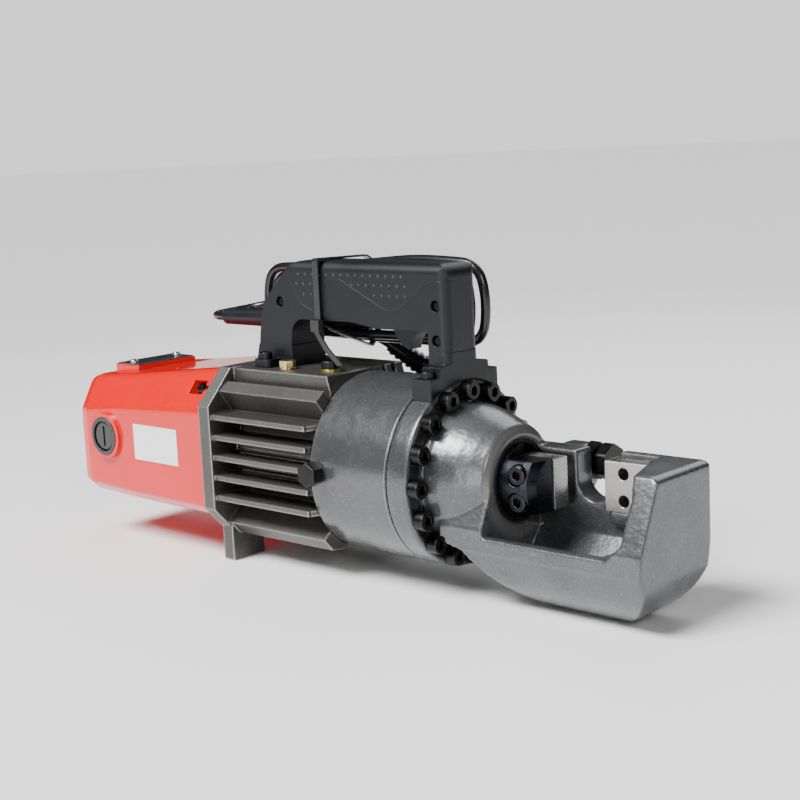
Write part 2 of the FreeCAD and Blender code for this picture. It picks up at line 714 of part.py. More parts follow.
def make_rotor_core():
    core = tube(core_x0, core_x1, 27, motor_shaft_r)
    slots = [box(core_x0 - 1, core_x1 + 1, -1.2, 1.2, 19, 28).rotated(vec(0, 0, 0), X, 30 * i + 15) for i in range(12)]
    return at(without(core, slots), 0, 0, motor_z)


def make_commutator():
    return tube(brush_x - 10, brush_x + 10, commutator_r, motor_shaft_r, 0, motor_z)


def make_motor_shaft():
    pinion = gear(pinion_teeth, gear_x0, gear_x1, 2.0)
    core = rod(gear_x0 - 1, gear_x1, 5)
    return at(joined([rod(-352, gear_x0, motor_shaft_r), pinion, core]), 0, 0, motor_z)


def make_fan():
    hub = tube(-228, -216, 12, motor_shaft_r)
    disc = tube(-219, -216, 38, motor_shaft_r)
    blades = [box(-228, -218, -1, 1, 11, 37).rotated(vec(0, 0, 0), X, 40 * i) for i in range(9)]
    return at(joined([hub, disc] + blades), 0, 0, motor_z)


def make_bearing_shield():
    """Wall across the housing that carries the front bearings and closes the gear space."""
    wall = box(shield_x0, shield_x1, -70, 70, -60, 70).common(motor_shell(motor_wall))
    tools = [rod(shield_x0 - 1, shield_x1 + 1, bearing_r, 0, motor_z), rod(shield_x0 - 1, shield_x1 + 1, 8, 0, cam_z)]
    tools += [rod(plate_back - 22, plate_back, 9.5, y, z) for y, z in motor_bolt_positions()]
    return without(wall, tools)


def make_motor_bearings():
    rear = tube(-352, -344, 11, motor_shaft_r + fit, 0, motor_z)
    front = tube(shield_x0, shield_x1, bearing_r, motor_shaft_r + fit, 0, motor_z)
    return Part.makeCompound([rear, front])


def make_cam_bearing():
    return tube(shield_x0 + 2, shield_x1, 8, cam_spigot_r + fit, 0, cam_z)


# ---- handle ----
def handle_profile():
    """Side outline of both posts and the grip, as (x, z) corners with a radius for each."""
    inner_x = -16.3
    return [
        ((post_back_x, rear_split_z), 0.8), ((-176.5, 111), 20), ((-144, handle_top), 16), ((post_front_x, handle_top), 9),
        ((post_front_x, front_split_z), 0.8), ((inner_x, front_split_z), 0.8), ((inner_x, 97.5), 2.0), ((-64, 97.2), 6),
        ((-86, 100.7), 14), ((-146, 100.7), 12), ((-148.5, rear_split_z), 0.8)]


def handle_solid(inset):
    """The handle drawn smaller all round by inset."""
    profile = handle_profile()
    face = Part.Face(rounded_loop([vec(x, 0, z) for (x, z), _ in profile], [r for _, r in profile]))
    if inset:
        face = face.makeOffset2D(-inset)
    half = handle_half - inset
    body = face.extrude(vec(0, 2 * half, 0)).translated(vec(0, -half, 0))
    radius = 7.0 - inset * 0.6
    along = prism_yz([(-half, 60), (half, 60), (half, handle_top - inset), (-half, handle_top - inset)],
                     post_back_x - 5, post_front_x + 5, radius)
    x0, x1 = post_back_x - 4 + inset, post_front_x - inset
    plan = rounded_loop([vec(x0, -half, 60), vec(x1, -half, 60), vec(x1, half, 60), vec(x0, half, 60)], radius)
    return body.common(along).common(Part.Face(plan).extrude(vec(0, 0, 100)))


def grip_region():
    """Side outline of the soft skin, which ends below in an S-curve."""
    corners = [(-142.5, 150), (-146, 126), (-137, 112.5), (-116, 104), (-113.2, 104), (-113.2, 129.5), (-97, 131),
               (-45, 106), (-14, 130.5), (4, 131.8), (4, 150)]
    radii = [1, 14, 12, 1.2, 1.2, 5, 12, 24, 16, 1, 1]
    loop = rounded_loop([vec(x, -40, z) for x, z in corners], radii)
    return Part.Face(loop).extrude(vec(0, 80, 0))


screw_seat = -handle_half + 4


def handle_screw_positions():
    return [(-158, 112.7), (-9, 114.6), (-9, 91.4)]


def make_handle_shells():
    whole = handle_solid(0.0)
    soft_grip = whole.cut(handle_solid(skin)).common(grip_region())
    trigger_slot = box(trigger_x - 26, trigger_x + 4.4, -trigger_half - 0.6, trigger_half + 0.6, 88, 103)
    tools = [soft_grip, handle_solid(handle_wall + skin), trigger_slot]
    for x, z in handle_screw_positions():
        tools.append(pin_y(-40, screw_seat, 3.9, x, z))
    body = without(whole, tools)
    bosses = []
    for x, z in handle_screw_positions():
        bosses.append(pin_y(screw_seat, handle_half - 2, 5.2, x, z).common(whole))
    holes = [pin_y(-handle_half, 9, 1.75 + fit, x, z) for x, z in handle_screw_positions()]
    holes.append(rod(post_back_x - 5, post_back_x + 18, boot_root_r, boot_y, boot_z))
    body = without(joined([body] + bosses), holes)
    left = body.common(box(-220, 20, -40, -0.05, 60, 160))
    right = body.common(box(-220, 20, 0.05, 40, 60, 160))
    return left, right, soft_grip


def make_handle_screws():
    screw = pan_screw(1.75, 20, 3.4, 2.4)
    return Part.makeCompound([aimed(screw, vec(x, screw_seat, z), vec(0, -1, 0)) for x, z in handle_screw_positions()])


def base_screw_positions():
    return [(-168.0, sign * 24.5) for sign in (-1, 1)]


def make_rear_base():
    half = handle_half
    block = prism_xz([(post_back_x - 4, casing_top), (post_back_x, rear_split_z), (-148.5, rear_split_z), (-147.5, casing_top)],
                     -half, half)
    lugs = box(-176, -160, -31, 31, casing_top, casing_top + 6)
    lugs = lugs.makeFillet(4, [e for e in lugs.Edges if abs(e.tangentAt(e.FirstParameter).z) > 0.9])
    pockets = [pin_z(casing_top + 6, rear_split_z - 1, 5.6, x, y) for x, y in base_screw_positions()]
    holes = [pin_z(60, 75, 2.5 + fit, x, y) for x, y in base_screw_positions()]
    return without(joined([block, lugs]), pockets + holes)


def make_base_screws():
    screw = socket_screw(2.5, 15, 4.5, 5.0)
    return Part.makeCompound([aimed(screw, vec(x, y, casing_top + 6), Z) for x, y in base_screw_positions()])


saddle_screw_x, saddle_screw_y = -8.0, 28.4
saddle_foot_z = 68.0
saddle_screw_end = 55.5


def make_saddle():
    """Bridge on the flange's rim that carries the front post."""
    outline = [(-35, 30), (-35, saddle_foot_z), (-25.5, saddle_foot_z), (-24, 74.5), (-15, 76), (15, 76), (24, 74.5),
               (25.5, saddle_foot_z), (35, saddle_foot_z), (35, 30)]
    bridge = prism_yz(outline, -16.3, 0)
    half = handle_half
    plan = rounded_loop([vec(-24, -half, 62), vec(0, -half, 62), vec(0, half, 62), vec(-24, half, 62)], [1, 6, 6, 1])
    post = Part.Face(plan).extrude(vec(0, 0, front_split_z - 62)).cut(box(-30, -16.3, -20, 20, 60, 90))
    body = joined([bridge, post])
    tools = [rod(-40, 20, ring_r), box(-30, 5, -60, 60, 20, 50)]
    for side in (-1, 1):
        y = side * saddle_screw_y
        tools.append(pin_z(saddle_foot_z, 90, 5.4, saddle_screw_x, y))
        tools.append(pin_z(40, 90, 2.5 + fit, saddle_screw_x, y))
    return without(body, tools)


def make_saddle_screws():
    screw = socket_screw(2.5, saddle_foot_z - saddle_screw_end, 4.5, 5.0)
    return Part.makeCompound([aimed(screw, vec(saddle_screw_x, side * saddle_screw_y, saddle_foot_z), Z) for side in (-1, 1)])


# ---- trigger ----
trigger_x, trigger_z = -33.7, 106.5     # its pivot
trigger_half = 6.0


def make_trigger():
    """Sector-shaped trigger that hangs from a cross pin at its upper front corner."""
    def point(dx, dz):
        return vec(trigger_x + dx, -trigger_half, trigger_z + dz)

    rear, front, throat, tip = point(-24, -7.6), point(3, -6), point(1, -11.5), point(-9, -24.1)
    outline = Part.Wire([
        Part.LineSegment(rear, front).toShape(),
        Part.LineSegment(front, throat).toShape(),
        Part.Arc(throat, point(-6.5, -17), tip).toShape(),
        Part.Arc(tip, point(-19.3, -18), rear).toShape(),
    ])
    paddle = Part.Face(outline).extrude(vec(0, 2 * trigger_half, 0))
    arm = box(trigger_x - 3.6, trigger_x + 3, -trigger_half, trigger_half, trigger_z - 7, trigger_z)
    eye = pin_y(-trigger_half, trigger_half, 3.6, trigger_x, trigger_z)
    return joined([paddle, arm, eye]).cut(pin_y(-20, 20, 1.5 + fit, trigger_x, trigger_z))


def make_trigger_pin():
    return pin_y(-11.4, 11.4, 1.5, trigger_x, trigger_z)


def make_switch_body():
    """Switch in the grip, with two cheeks that hold the trigger's pin."""
    body = box(-88, trigger_x - 10, -8, 8, 113, 128)
    cheeks = []
    for side in (-1, 1):
        y = side * 9.2
        cheeks.append(box(trigger_x - 4, trigger_x + 4, y - 2.2, y + 2.2, 102.3, 118))
    bridge = box(trigger_x - 12, trigger_x + 4, -11.4, 11.4, 114, 120)
    return joined([body, bridge] + cheeks).cut(pin_y(-20, 20, 1.5, trigger_x, trigger_z))


# ---- cord ----
boot_y, boot_z = 2.0, 98.0
boot_root_r = 5.4
boot_length = 60.0
boot_start = FreeCAD.Vector(-181, boot_y, boot_z)
boot_direction = FreeCAD.Vector(-1, 0.05, -0.03).normalize()
boot_tip = boot_start + boot_direction * boot_length
plug_start = FreeCAD.Vector(-118, 55.3, 74.3)
plug_direction = FreeCAD.Vector(0.59, 0.55, -0.59).normalize()


def tangent_path(points):
    """Open path of straight runs; each corner's arc reaches 0.45 of its shorter run."""
    edges = []
    radii = []
    last = points[0]
    for before, corner, after in zip(points, points[1:], points[2:]):
        shorter = min((corner - before).Length, (after - corner).Length)
        turn = math.pi - (before - corner).getAngle(after - corner)
        radius = 0.45 * shorter / math.tan(turn / 2)
        start, middle, end = corner_arc(before, corner, after, radius)
        edges.append(Part.LineSegment(last, start).toShape())
        edges.append(Part.Arc(start, middle, end).toShape())
        radii.append(radius)
        last = end
    edges.append(Part.LineSegment(last, points[-1]).toShape())
    wire = Part.Wire(edges)
    return wire, radii


def cord_tube(name, points):
    wire, radii = tangent_path(points)
    profile = Part.Wire(Part.makeCircle(cord_r, points[0], (points[1] - points[0]).normalize()))
    solid = wire.makePipeShell([profile], True, False)
    print(name, "length %.1f" % wire.Length, "radii", [round(r, 1) for r in radii],
          "volume ratio %.4f" % (solid.Volume / (math.pi * cord_r ** 2 * wire.Length)))
    return solid


def lead_route():
    """From the boot's mouth, round behind the boot and up to the coil's left end."""
    return [boot_tip, boot_tip + boot_direction * 15, vec(-268, 18, 95), vec(-270, 38, 95.5), vec(-258, 54, 98),
            vec(-238, 57, 102), vec(-206, 45.5, 110)]


def tail_route():
    """From the coil's lower run, under the grip, to the plug that hangs beside the cylinder."""
    return [vec(-170, 44.5, 90), vec(-152, 44.5, 89), plug_start - plug_direction * 14, plug_start]


def make_hank():
    """Closed outer shape of the coiled cord: a long loop behind the handle."""
    outline = [(-213, 88), (-213, 130), (-130, 131), (-62, 136.5), (-10.5, 134), (-11, 88)]
    radii = [20.5, 20.5, 60, 60, 23, 21.5]
    middle = rounded_loop([vec(x, hank_y, z) for x, z in outline], radii)
    start_edge = middle.Edges[1]
    start = start_edge.valueAt(start_edge.FirstParameter)
    direction = start_edge.tangentAt(start_edge.FirstParameter)
    profile = Part.Wire(Part.makeCircle(hank_r, start, direction))
    tube_shape = Part.Wire(middle.Edges[1:] + middle.Edges[:1]).makePipeShell([profile], True, False)
    return tube_shape if tube_shape.Volume > 0 else tube_shape.reversed()


def make_cord_boot():
    """Rubber strain relief that leaves the rear post."""
    body = Part.makeCone(7.4, 6.2, boot_length, boot_start, boot_direction)
    collar = rod(boot_start.x - 1, boot_start.x + 8, boot_root_r, boot_y, boot_z)
    return joined([body.cut(handle_solid(0.0)), collar])


def plug_part(shape):
    return aimed(shape, plug_start, plug_direction)


def make_plug():
    body = rod(30, 62, 12.5)
    body = body.makeFillet(3, body.Edges[:2])
    relief = [Part.makeCone(5.2, 7.5, 31, vec(0, 0, 0), X)]
    relief += [rod(3 + 5 * i, 6 + 5 * i, 6.5 + 0.4 * i) for i in range(6)]
    return plug_part(joined([body] + relief))


def make_plug_pins():
    pins = []
    for z in (-5, 5):
        pin = rod(62, 78, 2.4, 0, z)
        pins.append(plug_part(pin.makeFillet(1.5, [e for e in pin.Edges if e.BoundBox.XMin > 77.9])))
    return Part.makeCompound(pins)


def make_cable_tie():
    """Flat strap round the grip and the coil, with its lock head and a hanging tail."""
    half = 2.6
    inner = [(-18.5, 99), (-18.5, 143.6), (31.5, 142.2), (42, 136.2), (41.5, 84), (33, 77.2)]
    outer = [(-19.9, 98), (-19.9, 145), (32, 143.6), (43.4, 137), (42.9, 83.4), (33.2, 75.6)]
    strap = prism_yz(outer, tie_x - half, tie_x + half, 2.0).cut(prism_yz(inner, tie_x - half - 1, tie_x + half + 1, 1.5))
    lock = box(tie_x - 4, tie_x + 4, -23.5, -18.7, 93, 101.5)
    tail = prism_xz([(tie_x - 2.4, 94), (tie_x + 2.4, 94), (tie_x + 12, 82), (tie_x + 25, 71), (tie_x + 20.5, 69.5),
                     (tie_x + 8, 80)], -23, -21.6)
    return joined([strap, lock, tail])


# ---- export ----
def export(name, shape):
    placed = shape.translated(vec(-rest_x, 0, axis_height))
    bad = [i for i, solid in enumerate(placed.Solids) if not solid.isValid() or solid.Volume <= 0]
    print("%-22s solids %2d volume %10.0f %s" % (name, len(placed.Solids), placed.Volume, "BAD" if bad else ""))
    placed.exportStep(os.path.join("parts", name + ".step"))


def main():
    os.makedirs("parts", exist_ok=True)
    handle_left, handle_right, soft_grip = make_handle_shells()
    nodes = {
        "head": make_head(),
        "head_bolts": make_head_bolts(),
        "fixed_blade": make_fixed_blade(),
        "fixed_blade_screws": make_fixed_blade_screws(),
        "stop_bolt": make_stop_bolt(),
        "stop_nut": make_stop_nut(),
        "cylinder": make_cylinder(),
        "piston": make_piston(),
        "piston_seal": make_piston_seal(),
        "ram": make_ram(),
        "moving_blade": make_moving_blade(),
        "moving_blade_screws": make_moving_blade_screws(),
        "rod_wiper": make_rod_wiper(),
        "return_spring": make_return_spring(),
        "valve_boss": make_valve_boss(),
        "release_valve": make_release_valve(),
        "pump_housing": make_pump_housing(),
        "oil_plug": make_oil_plug(),
        "vent_screw": make_vent_screw(),
        "vent_washer": make_vent_washer(),
        "bladder": make_bladder(),
        "pump_block": make_pump_block(),
        "plunger": make_plunger(),
        "cam_shaft": make_cam_shaft(),
        "cam_roller": make_cam_roller(),
        "cam_gear": make_cam_gear(),
        "cam_bearing": make_cam_bearing(),
        "motor_housing": make_motor_housing(),
        "nameplate": make_nameplate(),
        "nameplate_screws": make_nameplate_screws(),
        "info_label": make_info_label(),
        "motor_bolts": make_motor_bolts(),
        "brush_caps": make_brush_caps(),
        "brushes": make_brushes(),
        "stator": make_stator(),
        "field_coils": make_field_coils(),
        "rotor_core": make_rotor_core(),
        "commutator": make_commutator(),
        "motor_shaft": make_motor_shaft(),
        "fan": make_fan(),
        "motor_bearings": make_motor_bearings(),
        "bearing_shield": make_bearing_shield(),
        "handle_left": handle_left,
        "handle_right": handle_right,
        "soft_grip": soft_grip,
        "handle_screws": make_handle_screws(),
        "rear_base": make_rear_base(),
        "base_screws": make_base_screws(),
        "saddle": make_saddle(),
        "saddle_screws": make_saddle_screws(),
        "trigger": make_trigger(),
        "trigger_pin": make_trigger_pin(),
        "switch_body": make_switch_body(),
        "cord_boot": make_cord_boot(),
        "cord_hank": make_hank(),
        "cord_lead": cord_tube("lead", lead_route()),
        "cord_tail": cord_tube("tail", tail_route()),
        "plug": make_plug(),
        "plug_pins": make_plug_pins(),
        "cable_tie": make_cable_tie(),
    }
    for name, shape in nodes.items():
        export(name, shape)


main()
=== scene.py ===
import json
import math

import bmesh
import bpy
from mathutils import Euler, Matrix, Vector


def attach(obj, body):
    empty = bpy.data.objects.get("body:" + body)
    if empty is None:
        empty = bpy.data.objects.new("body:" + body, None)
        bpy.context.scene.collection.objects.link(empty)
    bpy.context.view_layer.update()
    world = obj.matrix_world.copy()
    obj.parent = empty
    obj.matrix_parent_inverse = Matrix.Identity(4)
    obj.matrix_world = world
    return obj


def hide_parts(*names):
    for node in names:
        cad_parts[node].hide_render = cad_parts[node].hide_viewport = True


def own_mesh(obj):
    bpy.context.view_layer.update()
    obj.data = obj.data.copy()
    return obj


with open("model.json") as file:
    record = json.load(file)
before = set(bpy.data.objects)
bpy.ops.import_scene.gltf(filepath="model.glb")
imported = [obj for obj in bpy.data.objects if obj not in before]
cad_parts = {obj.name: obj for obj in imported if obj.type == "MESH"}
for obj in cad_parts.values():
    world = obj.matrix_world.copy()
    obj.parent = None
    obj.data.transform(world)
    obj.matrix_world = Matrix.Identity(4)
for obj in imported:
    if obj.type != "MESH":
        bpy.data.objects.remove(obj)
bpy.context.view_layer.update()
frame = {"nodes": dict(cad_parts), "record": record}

# The row's frame: metres, +X towards the cutting head, +Z up, origin on the flat under the head.
# Lengths below that come in millimetres about the tool's axis go through row().
nodes = frame["nodes"]

axis_height = 78.0              # the tool's axis above the floor
rest_x = 118.0                  # the frame's origin, along the tool's axis
handle_half = 17.0              # half the handle's width
cord_r = 3.5
cord_turns = 3.1
points_per_turn = 18
hank_y = 31.0                   # middle plane of the coiled cord
tie_x = -117.0                  # cable tie round the coil
spread_at_tie = 5.1             # how far the coil's strands stand from its middle line
spread_per_100 = 2.2            # how much further, for each 100 mm away from the tie
floor_half = 40                 # metres


def row(x, y, z):
    """Millimetres about the tool's axis to metres in the row's frame."""
    return Vector(((x - rest_x) / 1000, y / 1000, (z + axis_height) / 1000))


def add_to_scene(item):
    bpy.context.scene.collection.objects.link(item)


# ---- camera, floor and light ----
def add_camera():
    data = bpy.data.cameras.new("camera")
    data.lens = 66.7
    data.sensor_width = 36.0
    camera = bpy.data.objects.new("camera", data)
    camera.location = (0.5135, -0.7531, 0.2971)
    camera.rotation_euler = Euler([math.radians(a) for a in (80.33, 2.68, 42.09)])
    add_to_scene(camera)
    bpy.context.scene.camera = camera


def add_area(name, location, target, size, power, stretch=1.0):
    data = bpy.data.lights.new(name, "AREA")
    data.shape = "RECTANGLE"
    data.size = size
    data.size_y = size * stretch
    data.energy = power
    light = bpy.data.objects.new(name, data)
    light.location = location
    light.rotation_euler = (Vector(target) - Vector(location)).to_track_quat("-Z", "Y").to_euler()
    add_to_scene(light)


def add_sun(strength, tilt):
    """Even light for the whole floor."""
    data = bpy.data.lights.new("sun", "SUN")
    data.energy = strength
    data.angle = math.radians(25)
    light = bpy.data.objects.new("sun", data)
    light.rotation_euler = Euler([math.radians(a) for a in tilt])
    add_to_scene(light)


def add_stage():
    mesh = bpy.data.meshes.new("floor")
    build = bmesh.new()
    signs = ((-1, -1), (1, -1), (1, 1), (-1, 1))
    build.faces.new([build.verts.new((x * floor_half, y * floor_half, 0)) for x, y in signs])
    build.to_mesh(mesh)
    build.free()
    floor = bpy.data.objects.new("floor", mesh)
    add_to_scene(floor)
    floor.data.materials.append(floor_paper())
    add_world()
    middle = (-0.15, 0, 0.08)
    add_sun(5.5, (34, -14, 0))
    add_area("key", (-0.55, -0.75, 1.0), middle, 0.6, 9)
    add_area("front", (1.0, -0.75, 0.75), middle, 0.5, 7)
    add_area("strip", (0.15, -1.3, 0.3), middle, 0.2, 3, stretch=3.0)
    add_area("back", (-0.3, 1.0, 1.1), middle, 0.9, 7)


def add_world():
    """Soft surroundings: bright overhead and darker towards the horizon.

    The camera itself sees an even pale background.
    """
    world = bpy.data.worlds.new("world")
    bpy.context.scene.world = world
    world.use_nodes = True
    tree = world.node_tree
    shine = tree.nodes["Background"]
    pale = tree.nodes.new("ShaderNodeBackground")
    pale.inputs["Color"].default_value = (1, 1, 1, 1)
    pale.inputs["Strength"].default_value = 1.25
    place = tree.nodes.new("ShaderNodeTexCoord")
    split = tree.nodes.new("ShaderNodeSeparateXYZ")
    ramp = tree.nodes.new("ShaderNodeMapRange")
    for key, number in (("From Min", 0.0), ("From Max", 0.9), ("To Min", 0.1), ("To Max", 0.5)):
        ramp.inputs[key].default_value = number
    path = tree.nodes.new("ShaderNodeLightPath")
    choose = tree.nodes.new("ShaderNodeMixShader")
    tree.links.new(place.outputs["Generated"], split.inputs["Vector"])
    tree.links.new(split.outputs["Z"], ramp.inputs["Value"])
    tree.links.new(ramp.outputs["Result"], shine.inputs["Strength"])
    tree.links.new(path.outputs["Is Camera Ray"], choose.inputs["Fac"])
    tree.links.new(shine.outputs["Background"], choose.inputs[1])
    tree.links.new(pale.outputs["Background"], choose.inputs[2])
    tree.links.new(choose.outputs["Shader"], tree.nodes["World Output"].inputs["Surface"])


# ---- material building ----
class Recipe:
    """Small helper that strings shader nodes together in one material."""

    def __init__(self, name):
        self.material = bpy.data.materials.new(name)
        self.material.use_nodes = True
        self.tree = self.material.node_tree
        self.shader = self.tree.nodes["Principled BSDF"]
        self.place = self.add("ShaderNodeTexCoord").outputs["Object"]

    def add(self, kind, **settings):
        node = self.tree.nodes.new(kind)
        for key, value in settings.items():
            setattr(node, key, value)
        return node

    def link(self, a, b):
        self.tree.links.new(a, b)

    def noise(self, scale, detail=4.0, stretch=None):
        """Noise of that many cells per metre; stretch squeezes it along the axes."""
        node = self.add("ShaderNodeTexNoise")
        node.inputs["Scale"].default_value = scale
        node.inputs["Detail"].default_value = detail
        node.inputs["Roughness"].default_value = 0.55
        place = self.place
        if stretch:
            mapping = self.add("ShaderNodeMapping")
            mapping.inputs["Scale"].default_value = stretch
            self.link(place, mapping.inputs["Vector"])
            place = mapping.outputs["Vector"]
        self.link(place, node.inputs["Vector"])
        return node.outputs["Fac"]

    def cells(self, scale):
        """Soft-edged cells, for hammered paint."""
        node = self.add("ShaderNodeTexVoronoi", feature="SMOOTH_F1")
        node.inputs["Scale"].default_value = scale
        node.inputs["Smoothness"].default_value = 0.6
        self.link(self.place, node.inputs["Vector"])
        return node.outputs["Distance"]

    def ramp(self, value, low, high, out_low=0.0, out_high=1.0):
        node = self.add("ShaderNodeMapRange")
        for key, number in (("From Min", low), ("From Max", high), ("To Min", out_low), ("To Max", out_high)):
            node.inputs[key].default_value = number
        self.link(value, node.inputs["Value"])
        return node.outputs["Result"]

    def mix(self, share, a, b):
        node = self.add("ShaderNodeMix", data_type="RGBA")
        self.link(share, node.inputs["Factor"])
        for socket, colour in ((node.inputs[6], a), (node.inputs[7], b)):
            if isinstance(colour, tuple):
                socket.default_value = (*colour, 1)
            else:
                self.link(colour, socket)
        return node.outputs[2]

    def multiply(self, a, b):
        node = self.add("ShaderNodeMath", operation="MULTIPLY")
        self.link(a, node.inputs[0])
        if isinstance(b, float):
            node.inputs[1].default_value = b
        else:
            self.link(b, node.inputs[1])
        return node.outputs[0]

    def edges(self, radius):
        """1 along worn edges and corners, 0 on open faces."""
        bevel = self.add("ShaderNodeBevel", samples=4)
        bevel.inputs["Radius"].default_value = radius
        geometry = self.add("ShaderNodeNewGeometry")
        dot = self.add("ShaderNodeVectorMath", operation="DOT_PRODUCT")
        self.link(bevel.outputs["Normal"], dot.inputs[0])
        self.link(geometry.outputs["Normal"], dot.inputs[1])
        return self.ramp(dot.outputs["Value"], 0.985, 0.9)

    def bump(self, height, distance, strength=1.0, round_edges=0.0):
        node = self.add("ShaderNodeBump")
        node.inputs["Distance"].default_value = distance
        node.inputs["Strength"].default_value = strength
        self.link(height, node.inputs["Height"])
        if round_edges:
            bevel = self.add("ShaderNodeBevel", samples=4)
            bevel.inputs["Radius"].default_value = round_edges
            self.link(bevel.outputs["Normal"], node.inputs["Normal"])
        self.link(node.outputs["Normal"], self.shader.inputs["Normal"])

    def colour(self, socket):
        self.link(socket, self.shader.inputs["Base Color"])

    def rough(self, socket):
        self.link(socket, self.shader.inputs["Roughness"])

    def settings(self, **values):
        for key, value in values.items():
            self.shader.inputs[key.replace("_", " ")].default_value = value


def floor_paper():
    """Nearly white paper, very slightly clouded."""
    look = Recipe("floor_paper")
    white = (0.93, 0.93, 0.93)
    look.colour(look.mix(look.noise(3.0), white, tuple(c * 0.985 for c in white)))
    look.settings(Roughness=0.6)
    return look.material


def radius_from_axis(look):
    """Distance from the tool's axis and place along it, in metres."""
    split = look.add("ShaderNodeSeparateXYZ")
    look.link(look.place, split.inputs["Vector"])
    height = look.add("ShaderNodeMath", operation="SUBTRACT")
    look.link(split.outputs["Z"], height.inputs[0])
    height.inputs[1].default_value = axis_height / 1000
    joined = look.add("ShaderNodeCombineXYZ")
    look.link(split.outputs["Y"], joined.inputs["Y"])
    look.link(height.outputs[0], joined.inputs["Z"])
    length = look.add("ShaderNodeVectorMath", operation="LENGTH")
    look.link(joined.outputs["Vector"], length.inputs[0])
    return length.outputs["Value"], split.outputs["X"]


def cast_paint():
    """Hammered silver-grey paint; dark under the bolts, rough as cast round the ram's bore."""
    look = Recipe("cast_paint")
    cloud = look.noise(22.0, 5.0)
    speck = look.noise(900.0, 3.0)
    tone = look.mix(look.ramp(cloud, 0.35, 0.7), (0.07, 0.073, 0.077), (0.11, 0.113, 0.118))
    tone = look.mix(look.ramp(speck, 0.52, 0.75, 0.0, 0.5), tone, (0.26, 0.26, 0.27))
    radius, along = radius_from_axis(look)
    band_r, band_front = 0.0604, -0.1172
    within_band = look.ramp(radius, band_r + 0.0008, band_r)
    behind_front = look.ramp(along, band_front + 0.0007, band_front)
    tone = look.mix(look.multiply(within_band, behind_front), tone, (0.02, 0.02, 0.021))
    face_back, face_front, face_r = -0.0765, -0.0715, 0.0395
    past_back = look.ramp(along, face_back, face_back + 0.002)
    short_of_front = look.ramp(along, face_front, face_front - 0.001)
    within_face = look.ramp(radius, face_r, face_r - 0.0035)
    bore_face = look.multiply(look.multiply(past_back, short_of_front), within_face)
    tone = look.mix(look.multiply(bore_face, 0.7), tone, (0.24, 0.235, 0.225))
    look.colour(look.mix(look.multiply(look.edges(0.0012), 0.55), tone, (0.42, 0.42, 0.42)))
    look.rough(look.ramp(cloud, 0.3, 0.75, 0.22, 0.36))
    dimples = look.cells(330.0)
    look.bump(look.multiply(dimples, look.ramp(cloud, 0.2, 0.8, 0.6, 1.0)), 0.0005, 0.3, 0.0012)
    look.settings(Metallic=0.55, Coat_Weight=0.4, Coat_Roughness=0.2)
    return look.material


def cylinder_paint():
    """Satin grey hammered paint, finer than on the head."""
    look = Recipe("cylinder_paint")
    cloud = look.noise(30.0, 5.0)
    speck = look.noise(1100.0, 3.0)
    tone = look.mix(cloud, (0.07, 0.072, 0.076), (0.11, 0.113, 0.118))
    tone = look.mix(look.ramp(speck, 0.5, 0.75, 0.0, 0.5), tone, (0.24, 0.245, 0.25))
    look.colour(look.mix(look.multiply(look.edges(0.0009), 0.75), tone, (0.5, 0.5, 0.5)))
    look.rough(look.ramp(look.noise(90.0, 3.0), 0.3, 0.7, 0.2, 0.32))
    look.bump(look.cells(420.0), 0.0003, 0.22, 0.0008)
    look.settings(Metallic=0.6, Coat_Weight=0.35, Coat_Roughness=0.16)
    return look.material


def casing_alloy():
    """Cast alloy: grey-green and matt between the fins, brushed bright along their edges."""
    look = Recipe("casing_alloy")
    cloud = look.noise(35.0, 5.0)
    grain = look.noise(700.0, 4.0)
    brushed = look.noise(90.0, 4.0, stretch=(1, 12, 30))
    body = look.mix(cloud, (0.085, 0.082, 0.075), (0.13, 0.127, 0.118))
    body = look.mix(look.ramp(grain, 0.45, 0.7, 0.0, 0.35), body, (0.22, 0.215, 0.2))
    bright = look.mix(brushed, (0.36, 0.355, 0.34), (0.55, 0.545, 0.53))
    worn = look.edges(0.0022)
    look.colour(look.mix(worn, body, bright))
    look.rough(look.ramp(worn, 0.0, 1.0, 0.46, 0.24))
    look.bump(grain, 0.00012, 0.5, 0.0009)
    look.settings(Metallic=0.85)
    return look.material


def red_enamel():
    """Glossy red enamel with a slight orange peel."""
    look = Recipe("red_enamel")
    cloud = look.noise(14.0, 3.0)
    tone = look.mix(cloud, (0.62, 0.0015, 0.0015), (0.72, 0.003, 0.003))
    dust = look.ramp(look.noise(260.0, 5.0), 0.62, 0.8, 0.0, 0.12)
    look.colour(look.mix(dust, tone, (0.85, 0.25, 0.22)))
    look.rough(look.ramp(look.noise(120.0, 3.0), 0.3, 0.7, 0.16, 0.24))
    look.bump(look.noise(420.0, 2.0), 0.00006, 0.35, 0.0016)
    look.settings(Coat_Weight=0.6, Coat_Roughness=0.05, Specular_IOR_Level=0.3)
    return look.material


def moulded_black(name, colour, roughness, grain=1500.0, height=0.00008, edge=0.0009, shine=0.0):
    """Moulded plastic or rubber with a fine spark-eroded texture."""
    look = Recipe(name)
    cloud = look.noise(25.0, 4.0)
    speck = look.noise(grain, 3.0)
    dark = tuple(c * 0.75 for c in colour)
    tone = look.mix(cloud, dark, colour)
    lighter = tuple(c * 1.8 + 0.006 for c in colour)
    tone = look.mix(look.ramp(speck, 0.5, 0.8, 0.0, 0.5), tone, lighter)
    worn = tuple(min(1.0, c * 2.4 + 0.012) for c in colour)
    look.colour(look.mix(look.multiply(look.edges(edge), 0.35), tone, worn))
    look.rough(look.ramp(cloud, 0.3, 0.7, roughness - 0.05, roughness + 0.06))
    look.bump(speck, height, 0.6, edge)
    look.settings(Specular_IOR_Level=0.38)
    if shine:
        look.settings(Coat_Weight=shine, Coat_Roughness=0.1)
    return look.material


